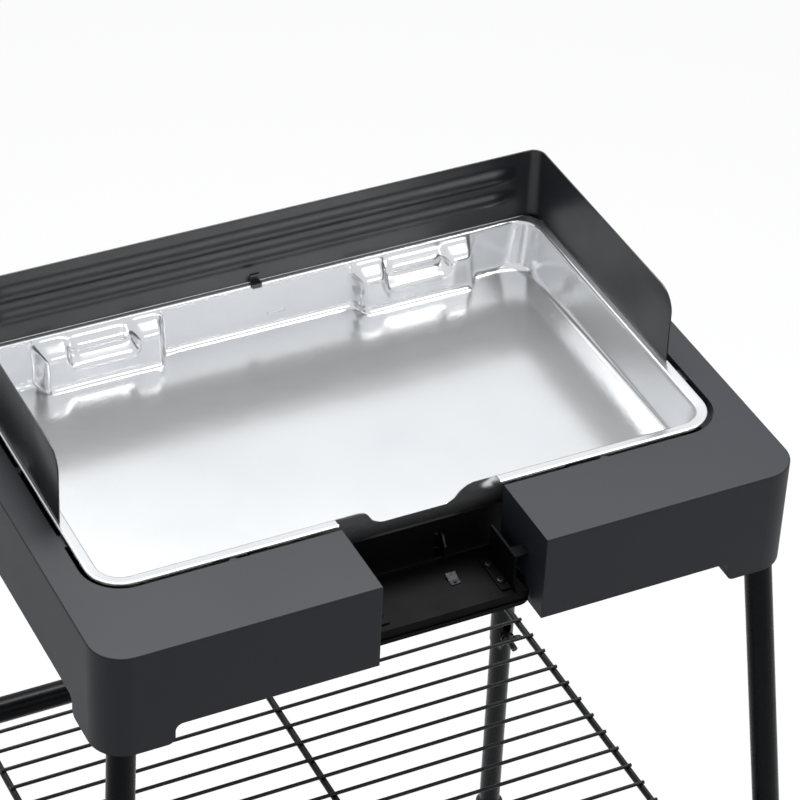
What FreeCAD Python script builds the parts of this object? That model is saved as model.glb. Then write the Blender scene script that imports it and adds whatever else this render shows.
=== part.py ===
import FreeCAD, Part
import math
import os

V = FreeCAD.Vector

# Electric grill on a stand. Millimetres, +X right, +Y back, +Z up.
# The origin is on the floor, under the middle of the housing.

# Housing ring: outside size, wall, corners and height above the floor
housing_width = 560.0
housing_depth = 410.0
housing_height = 74.0
housing_underside = 720.0
housing_wall = 3.0
housing_corner = 26.0
housing_edge_round = 1.0

# Dropped corner feet of the housing
foot_width = 56.0
foot_drop = 17.0
foot_round = 6.0

# Opening in the housing top, and the frame of housing around it
opening_front_border = 69.0
opening_side_border = 24.0
opening_back_border = 26.5
opening_corner = 32.0
opening_skirt = 7.0
opening_skirt_wall = 2.5

# Lugs on the bay walls that carry the bay floor
lug_reach = 6.0
lug_depth = 12.0
lug_height = 4.0

# Rests that carry the tray in the opening
rest_width = 14.0
rest_reach = 9.0
rest_thickness = 4.0
rest_front_offset = 129.0
rest_side_front = -66.0
rest_side_back = 95.0
rest_clearance = 0.3

# Control bay cut into the front edge
bay_width = 131.0
bay_wall_thickness = 3.0
bay_floor_height = 12.0
bay_floor_setback = 20.0
bay_sheet = 1.5
bay_side_clearance = 0.3
bay_flange_height = 8.0
bay_lip_round = 7.0
bay_hem_height = 4.0
bay_hem_depth = 1.0

# Guide rails in the bay
guide_offset = 53.5
guide_web = 2.0
guide_length = 40.0
guide_front = 4.0
guide_height = 32.0
guide_cap_width = 11.0
guide_cap_length = 11.0
guide_cap = 1.6
guide_base_width = 8.0
guide_base = 1.5

# Catch strip on the bay floor
catch_width = 8.0
catch_flat = 5.0
catch_length = 6.0
catch_rise = 2.5
catch_sheet = 0.8
catch_place_x = 18.5
catch_place_y = 31.0
catch_rivet_radius = 1.4

# Inner pan below the tray
pan_gap_front = 9.0
pan_gap_side = 9.0
pan_gap_back = 5.5
pan_sheet = 1.2
pan_wall_height = 40.0
pan_corner = 25.0
pan_flange = 4.0
pan_ear_width = 14.0
pan_ear_front_offset = 150.0
pan_ear_side_place = 20.0
pan_ear_reach = 6.0
slot_left = 14.7
slot_width = 8.4
slot_bottom = 1.5
slot_height = 24.5

# Interlock blade behind the slot
blade_thickness = 1.5
blade_inset = 0.4
blade_reach = 5.4
blade_width = 9.0
blade_height = 20.0
blade_foot = 2.5
blade_knee = 11.5
blade_slant = 5.6
pivot_back = 15.0
pivot_rise = 10.0
hub_radius = 3.2
pin_radius = 1.5
pin_clearance = 0.06
ear_sheet = 1.2
ear_gap = 0.8
ear_width = 8.0
tail_length = 12.0
tail_height = 3.0
bracket_tail = 8.0
spring_radius = 2.2
spring_wire = 0.35
spring_turns = 4
spring_clearance = 0.3

# Water tray
tray_flange = 9.5
tray_gap_front = 4.7
tray_gap_side = 4.0
tray_gap_back = 4.8
tray_rim_corner = 28.0
tray_depth = 40.0
tray_draft = 7.0
tray_floor_round = 7.0
tray_low_corner = 23.5
tray_sheet = 0.8
tray_bead = 1.5
dip_half_top = 42.0
dip_half_bottom = 30.0
dip_depth = 17.5
dip_round = 5.0
support_offset = 135.0
support_width = 102.0
support_lump_width = 24.0
support_lump_depth = 16.0
support_lump_height = 32.0
support_round = 5.0
support_skirt_depth = 14.5
support_skirt_height = 21.0
support_bar_depth = 9.0
support_bar_height = 30.5

# Wind shield
shield_inset = 2.0
shield_sheet = 1.2
shield_height = 62.5
shield_front = -50.5
shield_bend = 10.0
shield_corner = 18.0
shield_seat_gap = 0.3
shield_back_line = 5.3
shield_rib_radius = 2.2
shield_rib_low = 22.5
shield_rib_high = 44.0
shield_rib_end = 26.0
clip_width = 8.0
clip_sheet = 1.0
clip_rise = 7.0
clip_drop = 3.0

# Legs: place of their axes at the housing underside, and their splay
leg_side_inset = 21.7
leg_end_inset = 16.6
splay_side = 0.0751
splay_end = 0.1272
upper_radius = 10.7
upper_wall = 0.65
lower_radius = 9.85
lower_wall = 0.8
upper_bottom = 466.0
lower_top = 415.0
leg_bolt_drop = 454.0
leg_hole_above = 12.0
leg_hole_width = 8.0
leg_hole_length = 13.0
bolt_radius = 3.0
bolt_hole_clearance = 0.25
bolt_head_radius = 5.5
bolt_head_height = 3.5
bolt_tip = 17.5
washer_radius = 6.5
washer_thickness = 1.2
washer_gap = 0.2

# Wing nut
wing_hub_radius = 5.0
wing_hub_height = 5.5
wing_bore_clearance = 0.05
wing_span = 25.5
wing_turn = 8.5
wing_sheet = 2.4
wing_height = 8.0
wing_lift = 2.0

# Leg sockets in the corner feet
socket_clearance = 0.2
socket_wall = 3.0
socket_top = 42.0
socket_cap = 3.0
socket_plate = 3.0
socket_plate_inset = 0.3
socket_plate_reach = 46.0
socket_screw_offset = 34.0
socket_screw_side = 10.0

# Foot caps
cap_wall = 3.0
cap_height = 13.0
cap_floor = 4.0
cap_clearance = 0.2

# Cross tubes between the legs
cross_radius = 10.9
cross_wall = 1.2
cross_drop = 342.0
cross_overhang = 12.0
cross_gap = 0.3
plug_head = 2.5
plug_stem = 14.0
plug_clearance = 0.1
nut_radius = 5.8
nut_height = 5.0

# Wire shelf
thin_wire = 1.6
thick_wire = 2.9
wire_weld = 0.5
wire_pitch = 22.2
wire_count = 16
shelf_half_width = 238.5
shelf_shift = -1.2
wire_overhang = 2.5
shelf_seat_gap = 0.3
hook_past_tube = 4.0
hook_bend = 7.0
hook_drop = 10.0

# Small screws
screw_radius = 1.6
screw_head_radius = 3.4
screw_head_height = 1.8
screw_length = 9.0
screw_boss_radius = 4.5
screw_hole_clearance = 0.3

# Places worked out from the sizes above
half_w = housing_width / 2
half_d = housing_depth / 2
base_z = housing_underside
top_z = base_z + housing_height
open_x = half_w - opening_side_border
open_front = -half_d + opening_front_border
open_back = half_d - opening_back_border
bay_half = bay_width / 2
floor_z = base_z + bay_floor_height
pan_x = open_x - pan_gap_side
pan_front = open_front + pan_gap_front
pan_back = open_back - pan_gap_back
pan_floor_z = floor_z - pan_sheet
pan_top_z = pan_floor_z + pan_wall_height
rim_x = open_x - tray_gap_side
rim_front = open_front + tray_gap_front
rim_back = open_back - tray_gap_back
well_x = rim_x - tray_flange
well_front = rim_front + tray_flange
well_back = rim_back - tray_flange
well_corner = tray_rim_corner - tray_flange
tray_floor_z = top_z - tray_depth
shield_x = rim_x - shield_inset
shield_back = rim_back - shield_back_line + shield_sheet
shield_bottom = top_z + shield_seat_gap
leg_x = half_w - leg_side_inset
leg_y = half_d - leg_end_inset
foot_floor_z = base_z - foot_drop + housing_wall
cross_leg_y = leg_y + splay_end * cross_drop
cross_y = cross_leg_y - upper_radius - cross_radius - cross_gap
cross_z = base_z - cross_drop
cross_seat_y = cross_leg_y + upper_radius * math.hypot(1, splay_end) + splay_end * bolt_head_radius
cross_end = leg_x + splay_side * cross_drop + cross_overhang
thick_z = cross_z + cross_radius + shelf_seat_gap + thick_wire
thin_z = thick_z + thick_wire + thin_wire - wire_weld

CORNERS = {"front_left": (-1, -1), "front_right": (1, -1), "rear_left": (-1, 1), "rear_right": (1, 1)}

os.makedirs("parts", exist_ok=True)


def save(name, shape):
    shape.exportStep("parts/" + name + ".step")
    print(name, "solids", len(shape.Solids), "volume", round(shape.Volume), "valid", shape.isValid())


def group(solids):
    return Part.makeCompound(solids)


def block(x0, x1, y0, y1, z0, z1):
    return Part.makeBox(x1 - x0, y1 - y0, z1 - z0, V(x0, y0, z0))


def ring_wire(x0, x1, y0, y1, r, z):
    """Closed outline of a rectangle with rounded corners, lying flat at height z."""
    m = r * (1 - math.sqrt(0.5))
    corners = [
        (V(x1 - r, y0, z), V(x1 - m, y0 + m, z), V(x1, y0 + r, z)),
        (V(x1, y1 - r, z), V(x1 - m, y1 - m, z), V(x1 - r, y1, z)),
        (V(x0 + r, y1, z), V(x0 + m, y1 - m, z), V(x0, y1 - r, z)),
        (V(x0, y0 + r, z), V(x0 + m, y0 + m, z), V(x0 + r, y0, z)),
    ]
    edges = []
    for i, (a, b, c) in enumerate(corners):
        edges.append(Part.Arc(a, b, c).toShape())
        edges.append(Part.makeLine(c, corners[(i + 1) % 4][0]))
    return Part.Wire(edges)


def slab(x0, x1, y0, y1, r, z0, z1):
    """Upright block with rounded corners in plan."""
    return Part.Face(ring_wire(x0, x1, y0, y1, r, z0)).extrude(V(0, 0, z1 - z0))


def edges_at(shape, test):
    return [e for e in shape.Edges if all(test(v.Point) for v in e.Vertexes)]


def rod(a, b, r):
    d = b - a
    return Part.makeCylinder(r, d.Length, a, d)


def tube(a, b, r, wall):
    return rod(a, b, r).cut(rod(a, b, r - wall))


def polygon(points, normal_sweep):
    return Part.Face(Part.makePolygon(points + [points[0]])).extrude(normal_sweep)


def screw_up(x, y, z, length=screw_length):
    """Small pan head screw driven upwards, its head hanging below z."""
    head = Part.makeCylinder(screw_head_radius, screw_head_height, V(x, y, z - screw_head_height))
    shank = Part.makeCylinder(screw_radius, length, V(x, y, z))
    return head.fuse(shank)


def screw_down(x, y, z, length):
    """Small pan head screw driven downwards, its head standing on z."""
    head = Part.makeCylinder(screw_head_radius, screw_head_height, V(x, y, z))
    head = head.makeFillet(screw_head_height * 0.5, edges_at(head, lambda p: p.z > z + screw_head_height / 2))
    return head.fuse(Part.makeCylinder(screw_radius, length, V(x, y, z), V(0, 0, -1)))


# Legs and what is on them

def leg_point(sx, sy, drop):
    """Point on a leg's axis, a given drop below the housing underside."""
    x = sx * (leg_x + splay_side * drop)
    y = sy * (leg_y + splay_end * drop)
    return V(x, y, base_z - drop)


def leg_direction(sx, sy):
    d = leg_point(sx, sy, 100) - leg_point(sx, sy, 0)
    return d.normalize()


def bolt_direction(sx, sy):
    """Square to the leg, pointing inwards to the middle of the stand."""
    d = leg_direction(sx, sy)
    y = V(0, -sy, 0)
    return (y - d * y.dot(d)).normalize()


def bolt_hole(sx, sy, reach):
    c = leg_point(sx, sy, leg_bolt_drop)
    b = bolt_direction(sx, sy)
    return rod(c - b * reach, c + b * reach, bolt_radius + bolt_hole_clearance)


def adjusting_hole(sx, sy):
    """Upright oval hole in the inner side of the leg, above the bolt."""
    d = leg_direction(sx, sy)
    b = bolt_direction(sx, sy)
    c = leg_point(sx, sy, leg_bolt_drop) - d * leg_hole_above
    half = (leg_hole_length - leg_hole_width) / 2
    side = d.cross(b)
    r = leg_hole_width / 2
    ends = [rod(c + d * s, c + d * s + b * (upper_radius + 1), r) for s in (-half, half)]
    corners = [c + d * s * half + side * t * r for s, t in ((-1, -1), (-1, 1), (1, 1), (1, -1))]
    middle = polygon(corners, b * (upper_radius + 1))
    return ends[0].fuse([ends[1], middle])


def cross_bolt_hole(sx, sy):
    x = leg_point(sx, sy, cross_drop).x
    return rod(V(x, sy * (cross_leg_y + 40), cross_z), V(x, sy * (cross_y - 40), cross_z),
               bolt_radius + bolt_hole_clearance)


def upper_leg(sx, sy):
    top = leg_point(sx, sy, -socket_top)
    bottom = leg_point(sx, sy, upper_bottom)
    leg = tube(top, bottom, upper_radius, upper_wall)
    leg = leg.cut(bolt_hole(sx, sy, 2 * upper_radius))
    leg = leg.cut(adjusting_hole(sx, sy))
    return leg.cut(cross_bolt_hole(sx, sy))


def lower_leg(sx, sy):
    top = leg_point(sx, sy, lower_top)
    bottom = leg_point(sx, sy, base_z - cap_floor)
    leg = tube(top, bottom, lower_radius, lower_wall)
    leg = leg.cut(bolt_hole(sx, sy, 2 * upper_radius))
    return leg.cut(adjusting_hole(sx, sy))


def foot_cap(sx, sy):
    top = leg_point(sx, sy, base_z - cap_height)
    deep = leg_point(sx, sy, base_z + cap_height)
    seat = leg_point(sx, sy, base_z - cap_floor)
    r = lower_radius + cap_clearance
    cap = rod(top, deep, r + cap_wall)
    cap = cap.cut(rod(top - leg_direction(sx, sy), seat, r))
    side = 3 * cap_height
    below = block(seat.x - side, seat.x + side, seat.y - side, seat.y + side, -side, 0)
    return cap.cut(below)


def leg_bolt(sx, sy):
    """Round head screw through both tubes, its head on the outer side."""
    c = leg_point(sx, sy, leg_bolt_drop)
    b = bolt_direction(sx, sy)
    seat = c - b * upper_radius
    head = rod(seat, seat - b * bolt_head_height, bolt_head_radius)
    tip = c + b * (upper_radius + bolt_tip)
    return head.fuse(rod(seat, tip, bolt_radius))


def leg_washer(sx, sy):
    c = leg_point(sx, sy, leg_bolt_drop)
    b = bolt_direction(sx, sy)
    a = c + b * upper_radius
    ring = rod(a, a + b * washer_thickness, washer_radius)
    return ring.cut(rod(a - b, a + b * 3, bolt_radius + bolt_hole_clearance))


def wing_nut(sx, sy):
    """Round hub with two upright wings, turned about the screw."""
    c = leg_point(sx, sy, leg_bolt_drop)
    b = bolt_direction(sx, sy)
    a = c + b * (upper_radius + washer_thickness + washer_gap)
    side = leg_direction(sx, sy).cross(b)
    side = side * math.cos(math.radians(wing_turn)) + b.cross(side) * math.sin(math.radians(wing_turn))
    up = b.cross(side)
    hub = rod(a, a + b * wing_hub_height, wing_hub_radius)
    wings = []
    for s in (-1, 1):
        inner = a + side * s * (bolt_radius + 0.8) + b * 0.5
        outer = a + side * s * wing_span / 2
        r = wing_height / 2
        root = [inner - b * 0.5, inner + b * (wing_hub_height - 0.5)]
        tip_low = outer - side * s * r + b * wing_lift
        tip_high = tip_low + b * wing_height
        plate = polygon([p - up * wing_sheet / 2 for p in (root[0], tip_low, tip_high, root[1])],
                        up * wing_sheet)
        round_end = rod(tip_low + b * r - up * wing_sheet / 2, tip_low + b * r + up * wing_sheet / 2, r)
        wings.append(plate.fuse(round_end))
    nut = hub.fuse(wings)
    return nut.cut(rod(a - b, a + b * 20, bolt_radius + wing_bore_clearance)).removeSplitter()


def leg_socket(sx, sy):
    """Sleeve inside a corner foot, standing on a plate on the foot's floor."""
    top = leg_point(sx, sy, -socket_top - socket_cap)
    low = leg_point(sx, sy, foot_drop + 10)
    r = upper_radius + socket_clearance
    x_out = half_w - housing_wall - socket_plate_inset
    y_out = half_d - housing_wall - socket_plate_inset
    xs = sorted([sx * x_out, sx * (x_out - socket_plate_reach)])
    ys = sorted([sy * y_out, sy * (y_out - socket_plate_reach)])
    corner = housing_corner - housing_wall - socket_plate_inset
    plate = slab(xs[0], xs[1], ys[0], ys[1], corner, foot_floor_z, foot_floor_z + socket_plate)
    room = slab(xs[0], xs[1], ys[0], ys[1], corner, foot_floor_z, top_z)
    body = plate.fuse(rod(low, top, r + socket_wall).common(room))
    body = body.cut(rod(low + leg_direction(sx, sy) * 5, leg_point(sx, sy, -socket_top), r))
    for x, y in socket_screw_places(sx, sy):
        body = body.cut(Part.makeCylinder(screw_radius, socket_plate + 10, V(x, y, foot_floor_z - 5)))
    return body


def socket_screw_places(sx, sy):
    x_in = half_w - housing_wall - socket_plate_inset
    y_in = half_d - housing_wall - socket_plate_inset
    far = socket_screw_offset
    near = socket_screw_side
    return [(sx * (x_in - far), sy * (y_in - far)), (sx * (x_in - far), sy * (y_in - near))]


def socket_screws():
    screws = []
    for sx, sy in CORNERS.values():
        for x, y in socket_screw_places(sx, sy):
            screws.append(screw_up(x, y, base_z - foot_drop, housing_wall + socket_plate + 2))
    return group(screws)


# Cross tubes

def cross_tube(sy):
    y = sy * cross_y
    bar = tube(V(-cross_end, y, cross_z), V(cross_end, y, cross_z), cross_radius, cross_wall)
    for sx in (-1, 1):
        bar = bar.cut(cross_bolt_hole(sx, sy))
    return bar


def tube_plugs():
    plugs = []
    for sx, sy in CORNERS.values():
        end = V(sx * cross_end, sy * cross_y, cross_z)
        out = V(sx, 0, 0)
        head = rod(end, end + out * plug_head, cross_radius)
        stem = rod(end, end - out * plug_stem * 0.5, cross_radius - cross_wall - plug_clearance)
        plugs.append(head.fuse(stem))
    return group(plugs)


def cross_bolts():
    bolts = []
    for sx, sy in CORNERS.values():
        x = leg_point(sx, sy, cross_drop).x
        seat = V(x, sy * cross_seat_y, cross_z)
        inward = V(0, -sy, 0)
        head = rod(seat, seat - inward * bolt_head_height, bolt_head_radius)
        length = cross_seat_y - (cross_y - cross_radius) + nut_height + 2
        bolts.append(head.fuse(rod(seat, seat + inward * length, bolt_radius)))
    return group(bolts)


def cross_nuts():
    nuts = []
    for sx, sy in CORNERS.values():
        x = leg_point(sx, sy, cross_drop).x
        start = V(x, sy * (cross_y - cross_radius), cross_z)
        inward = V(0, -sy, 0)
        corners = []
        for i in range(6):
            turn = math.radians(60 * i)
            corners.append(start + V(nut_radius * math.cos(turn), 0, nut_radius * math.sin(turn)))
        nut = polygon(corners, inward * nut_height)
        nuts.append(nut.cut(rod(start - inward, start + inward * 20, bolt_radius)))
    return group(nuts)


# Wire shelf

def thick_wire_rod(x):
    """Straight wire whose two ends turn down behind the cross tubes."""
    reach = cross_y + cross_radius + hook_past_tube + thick_wire
    r = hook_bend
    m = r * (1 - math.sqrt(0.5))
    low = thick_z - r - hook_drop
    bend_start = reach - r
    points = []
    for s in (-1, 1):
        points.append((V(x, s * reach, low), V(x, s * reach, thick_z - r),
                       V(x, s * (reach - m), thick_z - m), V(x, s * bend_start, thick_z)))
    front, back = points
    edges = [
        Part.makeLine(front[0], front[1]),
        Part.Arc(front[1], front[2], front[3]).toShape(),
        Part.makeLine(front[3], back[3]),
        Part.Arc(back[3], back[2], back[1]).toShape(),
        Part.makeLine(back[1], back[0]),
    ]
    section = Part.Wire([Part.makeCircle(thick_wire, front[0], V(0, 0, 1))])
    return Part.Wire(edges).makePipeShell([section], True, False)


def shelf_rack():
    reach = shelf_half_width + wire_overhang
    first = -wire_pitch * (wire_count - 1) / 2
    places = (-shelf_half_width, 0, shelf_half_width)
    wires = [thick_wire_rod(x + shelf_shift) for x in places]
    for i in range(wire_count):
        y = first + wire_pitch * i
        left = V(shelf_shift - reach, y, thin_z)
        right = V(shelf_shift + reach, y, thin_z)
        wires.append(rod(left, right, thin_wire))
    return wires[0].fuse(wires[1:])


# Housing

def foot_gap_cutter(half_length, span_axis):
    """Space below the skirt between two corner feet, with rounded ends."""
    z0 = base_z - foot_drop
    r = foot_round
    m = r * (1 - math.sqrt(0.5))
    far = half_d + 10 if span_axis == "x" else half_w + 10

    def at(u, z):
        return V(u, -far, z) if span_axis == "x" else V(-far, u, z)

    e = half_length
    right = [at(e + r, z0 - 1), at(e + r, z0), at(e + m, z0 + m), at(e, z0 + r),
             at(e, base_z - r), at(e - m, base_z - m), at(e - r, base_z)]
    left = [at(-e - r, z0 - 1), at(-e - r, z0), at(-e - m, z0 + m), at(-e, z0 + r),
            at(-e, base_z - r), at(-e + m, base_z - m), at(-e + r, base_z)]
    edges = [
        Part.makeLine(left[0], right[0]),
        Part.makeLine(right[0], right[1]),
        Part.Arc(right[1], right[2], right[3]).toShape(),
        Part.makeLine(right[3], right[4]),
        Part.Arc(right[4], right[5], right[6]).toShape(),
        Part.makeLine(right[6], left[6]),
        Part.Arc(left[6], left[5], left[4]).toShape(),
        Part.makeLine(left[4], left[3]),
        Part.Arc(left[3], left[2], left[1]).toShape(),
        Part.makeLine(left[1], left[0]),
    ]
    sweep = V(0, 2 * far, 0) if span_axis == "x" else V(2 * far, 0, 0)
    return Part.Face(Part.Wire(edges)).extrude(sweep)


def tray_rests():
    """Small ledges in the opening that the tray's flange lies on."""
    top = top_z - 2 * tray_bead - rest_clearance
    low = top - rest_thickness
    w = rest_width / 2
    skirt = opening_skirt_wall
    rests = []
    for s in (-1, 1):
        x = s * rest_front_offset
        rests.append(block(x - w, x + w, open_front - skirt, open_front + rest_reach, low, top))
        rests.append(block(x - w, x + w, open_back - rest_reach, open_back + skirt, low, top))
        xs = sorted([s * (open_x + skirt), s * (open_x - rest_reach)])
        for y in (rest_side_front, rest_side_back):
            rests.append(block(xs[0], xs[1], y - w, y + w, low, top))
    return rests


def bay_lugs():
    """Lugs on the two bay walls, under the bay floor."""
    lugs = []
    y0 = -half_d + bay_floor_setback + bay_sheet
    top = floor_z - bay_sheet
    for s in (-1, 1):
        xs = sorted([s * (bay_half + 1), s * (bay_half - lug_reach)])
        for y in (y0 + 4, open_front - 4 - lug_depth):
            lugs.append(block(xs[0], xs[1], y, y + lug_depth, top - lug_height, top))
    return lugs


def pan_ear_places():
    """Screw places of the inner pan, in the borders of the housing."""
    out = pan_flange + pan_ear_reach
    places = []
    for s in (-1, 1):
        places.append((s * pan_ear_front_offset, pan_front - out))
        places.append((s * pan_ear_front_offset, pan_back + out))
        places.append((s * (pan_x + out), pan_ear_side_place))
    return places


def housing_shell():
    x, y, t = half_w, half_d, housing_wall
    body = slab(-x, x, -y, y, housing_corner, base_z - foot_drop, top_z)
    rims = edges_at(body, lambda p: abs(p.z - top_z) < 0.01)
    body = body.makeFillet(housing_edge_round, rims)
    body = body.cut(foot_gap_cutter(x - foot_width, "x"))
    body = body.cut(foot_gap_cutter(y - foot_width, "y"))
    hollow = slab(-x + t, x - t, -y + t, y - t, housing_corner - t, base_z, top_z - t)
    pockets = slab(-x + t, x - t, -y + t, y - t, housing_corner - t, foot_floor_z, base_z)
    px = x - foot_width + t
    py = y - foot_width + t
    pockets = pockets.cut(block(-px, px, -y, y, foot_floor_z - 1, base_z + 1))
    pockets = pockets.cut(block(-x, x, -py, py, foot_floor_z - 1, base_z + 1))
    body = body.cut([hollow, pockets])
    w = opening_skirt_wall
    skirt = slab(-open_x - w, open_x + w, open_front - w, open_back + w, opening_corner + w,
                 top_z - t - opening_skirt, top_z - t)
    opening = slab(-open_x, open_x, open_front, open_back, opening_corner, base_z, top_z + 1)
    body = body.fuse(skirt).cut(opening)
    cut_back = open_front + opening_corner
    notch = block(-bay_half, bay_half, -y - 1, cut_back, base_z - foot_drop - 1, top_z + 1)
    body = body.cut(notch)
    walls = []
    for s in (-1, 1):
        xs = sorted([s * bay_half, s * (bay_half + bay_wall_thickness)])
        walls.append(block(xs[0], xs[1], -y + t / 2, open_front, base_z, top_z - t / 2))
    body = body.fuse(walls + bay_lugs() + tray_rests())
    for sx, sy in CORNERS.values():
        hole = rod(leg_point(sx, sy, 0), leg_point(sx, sy, foot_drop + 10), upper_radius + socket_clearance)
        body = body.cut(hole)
        for px, py in socket_screw_places(sx, sy):
            body = body.cut(Part.makeCylinder(screw_radius + screw_hole_clearance, foot_drop,
                                              V(px, py, base_z - foot_drop - 5)))
    for px, py in pan_ear_places():
        boss = Part.makeCylinder(screw_boss_radius, top_z - t - pan_top_z + t / 2, V(px, py, pan_top_z))
        body = body.fuse(boss)
        body = body.cut(Part.makeCylinder(screw_radius, screw_length + 1, V(px, py, pan_top_z - 1)))
    return body.removeSplitter()


# Bay

def bay_floor():
    """Folded sheet: floor, front lip with its hem, and two side flanges."""
    x = bay_half - bay_side_clearance
    y0 = -half_d + bay_floor_setback
    y1 = pan_front - pan_sheet - bay_side_clearance
    z1 = floor_z
    t = bay_sheet
    sheet = block(-x, x, y0, y1, z1 - t, z1)
    lip = block(-x, x, y0, y0 + t, base_z, z1)
    hem = block(-x, x, y0 - bay_hem_depth, y0 + t, base_z, base_z + bay_hem_height)
    lip = lip.fuse(hem)
    sheet = sheet.fuse(lip)
    for s in (-1, 1):
        xs = sorted([s * x, s * (x - t)])
        sheet = sheet.fuse(block(xs[0], xs[1], y0 + 10, y1 - 6, z1 - t, z1 + bay_flange_height))
    for s in (-1, 1):
        r = bay_lip_round
        xs = sorted([s * (x + 0.5), s * (x - r)])
        square = block(xs[0], xs[1], y0 - 5, y0 + 5, base_z - 0.5, base_z + r)
        disc = rod(V(s * (x - r), y0 - 6, base_z + r), V(s * (x - r), y0 + 6, base_z + r), r)
        sheet = sheet.cut(square.cut(disc))
    for px, py in guide_screw_places():
        sheet = sheet.cut(Part.makeCylinder(screw_radius, 10, V(px, py, z1 - 5)))
    return sheet.removeSplitter()


def guide_screw_places():
    y0 = -half_d + bay_floor_setback + guide_front
    inset = guide_offset - guide_base_width / 2
    return [(s * inset, y0 + f * guide_length) for s in (-1, 1) for f in (0.3, 0.8)]


def guide_rail(s):
    """Upright rail with a short cap bent outward and a foot screwed to the floor."""
    y0 = -half_d + bay_floor_setback + guide_front
    y1 = y0 + guide_length
    z0 = floor_z
    z1 = z0 + guide_height
    web = sorted([s * guide_offset, s * (guide_offset + guide_web)])
    base = sorted([s * (guide_offset + guide_web), s * (guide_offset - guide_base_width)])
    cap = sorted([s * guide_offset, s * (guide_offset + guide_cap_width)])
    rail = block(web[0], web[1], y0, y1, z0, z1)
    rail = rail.fuse([
        block(base[0], base[1], y0 + 2, y1, z0, z0 + guide_base),
        block(cap[0], cap[1], y0, y0 + guide_cap_length, z1 - guide_cap, z1),
    ])
    for px, py in guide_screw_places():
        if px * s > 0:
            rail = rail.cut(Part.makeCylinder(screw_radius + screw_hole_clearance, 10, V(px, py, z0 - 2)))
    return rail.removeSplitter()


def bay_screws():
    z = floor_z + guide_base
    return group([screw_down(x, y, z, guide_base + bay_sheet + 2) for x, y in guide_screw_places()])


def catch_strip():
    """Bent spring strip, riveted flat at its front and rising to the back."""
    x0 = catch_place_x - catch_width / 2
    y0 = -half_d + bay_floor_setback + catch_place_y
    z = floor_z
    t = catch_sheet
    flat = catch_flat
    profile = [V(x0, y0 - flat, z), V(x0, y0, z), V(x0, y0 + catch_length, z + catch_rise),
               V(x0, y0 + catch_length, z + catch_rise + t), V(x0, y0, z + t), V(x0, y0 - flat, z + t)]
    strip = polygon(profile, V(catch_width, 0, 0))
    y = y0 - flat / 2
    rivet = Part.makeCylinder(catch_rivet_radius, t + 0.8, V(catch_place_x, y, z))
    return strip.fuse(rivet)


# Inner pan and interlock

def inner_pan():
    t = pan_sheet
    outer = slab(-pan_x, pan_x, pan_front, pan_back, pan_corner, pan_floor_z, pan_top_z)
    inner = slab(-pan_x + t, pan_x - t, pan_front + t, pan_back - t, pan_corner - t,
                 pan_floor_z + t, pan_top_z + 1)
    f = pan_flange
    flange = slab(-pan_x - f, pan_x + f, pan_front - f, pan_back + f, pan_corner + f,
                  pan_top_z - t, pan_top_z)
    bay_side = bay_half + bay_wall_thickness + 2
    bay_room = block(-bay_side, bay_side, pan_front - f - 1, pan_front - t, pan_top_z - 5, pan_top_z + 5)
    flange = flange.cut(bay_room)
    body = outer.fuse(flange)
    w = pan_ear_width / 2
    for px, py in pan_ear_places():
        if abs(px) > pan_x:
            xs = sorted([px + math.copysign(w, px), math.copysign(pan_x, px)])
            ear = block(xs[0], xs[1], py - w, py + w, pan_top_z - t, pan_top_z)
        else:
            ys = sorted([py + math.copysign(w, py), pan_front + 1 if py < 0 else pan_back - 1])
            ear = block(px - w, px + w, ys[0], ys[1], pan_top_z - t, pan_top_z)
        body = body.fuse(ear)
    body = body.cut(inner)
    for px, py in pan_ear_places():
        body = body.cut(Part.makeCylinder(screw_radius + screw_hole_clearance, 6, V(px, py, pan_top_z - 3)))
    slot_z = floor_z + slot_bottom
    slot_right = slot_left + slot_width
    slot = block(slot_left, slot_right, pan_front - 5, pan_front + 5, slot_z, slot_z + slot_height)
    return body.cut(slot).removeSplitter()


def pan_screws():
    z = pan_top_z - pan_sheet
    return group([screw_up(x, y, z) for x, y in pan_ear_places()])


def pivot_place():
    """Where the blade's pin crosses its middle plane."""
    x = slot_left + slot_width - blade_inset - blade_thickness / 2
    return V(x, pan_front + pivot_back, pan_floor_z + pan_sheet + pivot_rise)


def interlock_blade():
    """Flat lever: hub on the pin, arm behind, upright blade standing in the slot."""
    c = pivot_place()
    x0 = c.x - blade_thickness / 2
    front = pan_front - blade_reach
    z0 = floor_z + blade_foot
    arm_half = tail_height / 2
    plate = V(blade_thickness, 0, 0)
    outline = [(0, 0), (blade_width, 0), (blade_width, blade_height),
               (blade_slant, blade_height), (0, blade_knee)]
    upright = polygon([V(x0, front + u, z0 + w) for u, w in outline], plate)
    arm = polygon([V(x0, front + blade_width / 2, c.z - arm_half), V(x0, c.y, c.z - arm_half),
                   V(x0, c.y, c.z + arm_half), V(x0, front + blade_width / 2, c.z + arm_half)], plate)
    tail = polygon([V(x0, c.y, c.z - arm_half), V(x0, c.y + tail_length, c.z - arm_half),
                    V(x0, c.y + tail_length, c.z + arm_half), V(x0, c.y, c.z + arm_half)], plate)
    hub = rod(V(x0, c.y, c.z), V(x0 + blade_thickness, c.y, c.z), hub_radius)
    lever = upright.fuse([arm, tail, hub])
    bore = rod(V(x0 - 1, c.y, c.z), V(x0 + blade_thickness + 1, c.y, c.z), pin_radius + pin_clearance)
    return lever.cut(bore).removeSplitter()


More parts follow.
